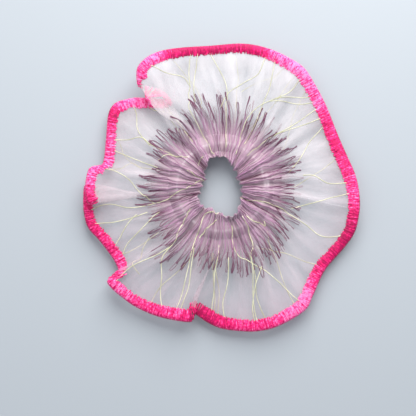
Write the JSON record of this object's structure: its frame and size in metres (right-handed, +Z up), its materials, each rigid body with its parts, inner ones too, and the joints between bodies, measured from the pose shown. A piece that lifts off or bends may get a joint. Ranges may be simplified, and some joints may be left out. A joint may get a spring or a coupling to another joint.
{
  "type": "scrunchie",
  "caption": "Hair scrunchie: a sheer double organza ruffle with a wavy satin-stitched edge and embroidered veins, gathered round a stretch elastic.",
  "frame": {"origin": "middle of the hair opening, on the flat surface the scrunchie lies on", "axes": "+Z up, through the hair opening; +Y along the opening's longer way; the strip's side seam is near +X"},
  "size_m": [0.1235, 0.1289, 0.0151],
  "materials": {
    "organza": "sheer white woven organza",
    "pink_satin_thread": "dense satin stitching in variegated pink thread",
    "mauve_thread": "mauve embroidery thread with a soft sheen",
    "cream_thread": "pale yellow embroidery thread with a soft sheen",
    "white_thread": "white polyester sewing thread",
    "elastic": "white braided elastic"
  },
  "bodies": {
    "gather_01": {"organza_01": "organza", "edge_stitching_01": "pink_satin_thread", "stamen_stitches_01": "mauve_thread", "vein_stitches_01": "cream_thread", "seam_stitches_01": "white_thread", "elastic_band": "elastic", "elastic_lap": "elastic", "elastic_join_stitches": "white_thread", "side_seam": "white_thread"},
    "gather_02": {"organza_02": "organza", "edge_stitching_02": "pink_satin_thread", "stamen_stitches_02": "mauve_thread", "vein_stitches_02": "cream_thread", "seam_stitches_02": "white_thread"},
    "gather_03": {"organza_03": "organza", "edge_stitching_03": "pink_satin_thread", "stamen_stitches_03": "mauve_thread", "vein_stitches_03": "cream_thread", "seam_stitches_03": "white_thread"},
    "gather_04": {"organza_04": "organza", "edge_stitching_04": "pink_satin_thread", "stamen_stitches_04": "mauve_thread", "vein_stitches_04": "cream_thread", "seam_stitches_04": "white_thread"},
    "gather_05": {"organza_05": "organza", "edge_stitching_05": "pink_satin_thread", "stamen_stitches_05": "mauve_thread", "vein_stitches_05": "cream_thread", "seam_stitches_05": "white_thread"},
    "gather_06": {"organza_06": "organza", "edge_stitching_06": "pink_satin_thread", "stamen_stitches_06": "mauve_thread", "vein_stitches_06": "cream_thread", "seam_stitches_06": "white_thread"},
    "gather_07": {"organza_07": "organza", "edge_stitching_07": "pink_satin_thread", "stamen_stitches_07": "mauve_thread", "vein_stitches_07": "cream_thread", "seam_stitches_07": "white_thread"},
    "gather_08": {"organza_08": "organza", "edge_stitching_08": "pink_satin_thread", "stamen_stitches_08": "mauve_thread", "vein_stitches_08": "cream_thread", "seam_stitches_08": "white_thread"},
    "gather_09": {"organza_09": "organza", "edge_stitching_09": "pink_satin_thread", "stamen_stitches_09": "mauve_thread", "vein_stitches_09": "cream_thread", "seam_stitches_09": "white_thread"},
    "gather_10": {"organza_10": "organza", "edge_stitching_10": "pink_satin_thread", "stamen_stitches_10": "mauve_thread", "vein_stitches_10": "cream_thread", "seam_stitches_10": "white_thread"}
  },
  "joints": [
    {"name": "stretch_01", "type": "slide", "parent": "gather_01", "child": "gather_02", "axis": [-0.2079, 0.9781, 0], "range_m": [0, 0.0132], "stiffness_N_per_m": 350, "deforming": ["elastic_band"]},
    {"name": "stretch_02", "type": "slide", "parent": "gather_02", "child": "gather_03", "axis": [-0.788, 0.6157, 0], "range_m": [0, 0.0132], "stiffness_N_per_m": 350},
    {"name": "stretch_03", "type": "slide", "parent": "gather_03", "child": "gather_04", "axis": [-0.9994, -0.0349, 0], "range_m": [0, 0.0132], "stiffness_N_per_m": 350},
    {"name": "stretch_04", "type": "slide", "parent": "gather_04", "child": "gather_05", "axis": [-0.7431, -0.6691, 0], "range_m": [0, 0.0132], "stiffness_N_per_m": 350},
    {"name": "stretch_05", "type": "slide", "parent": "gather_05", "child": "gather_06", "axis": [-0.1392, -0.9903, 0], "range_m": [0, 0.0132], "stiffness_N_per_m": 350},
    {"name": "stretch_06", "type": "slide", "parent": "gather_06", "child": "gather_07", "axis": [0.5299, -0.848, 0], "range_m": [0, 0.0132], "stiffness_N_per_m": 350},
    {"name": "stretch_07", "type": "slide", "parent": "gather_07", "child": "gather_08", "axis": [0.9511, -0.309, 0], "range_m": [0, 0.0132], "stiffness_N_per_m": 350},
    {"name": "stretch_08", "type": "slide", "parent": "gather_08", "child": "gather_09", "axis": [0.9272, 0.3746, 0], "range_m": [0, 0.0132], "stiffness_N_per_m": 350},
    {"name": "stretch_09", "type": "slide", "parent": "gather_09", "child": "gather_10", "axis": [0.4695, 0.8829, 0], "range_m": [0, 0.0132], "stiffness_N_per_m": 350}
  ],
  "couplings": [
    {"joint": "stretch_02", "follows": "stretch_01", "ratio": 1},
    {"joint": "stretch_03", "follows": "stretch_01", "ratio": 1},
    {"joint": "stretch_04", "follows": "stretch_01", "ratio": 1},
    {"joint": "stretch_05", "follows": "stretch_01", "ratio": 1},
    {"joint": "stretch_06", "follows": "stretch_01", "ratio": 1},
    {"joint": "stretch_07", "follows": "stretch_01", "ratio": 1},
    {"joint": "stretch_08", "follows": "stretch_01", "ratio": 1},
    {"joint": "stretch_09", "follows": "stretch_01", "ratio": 1}
  ]
}
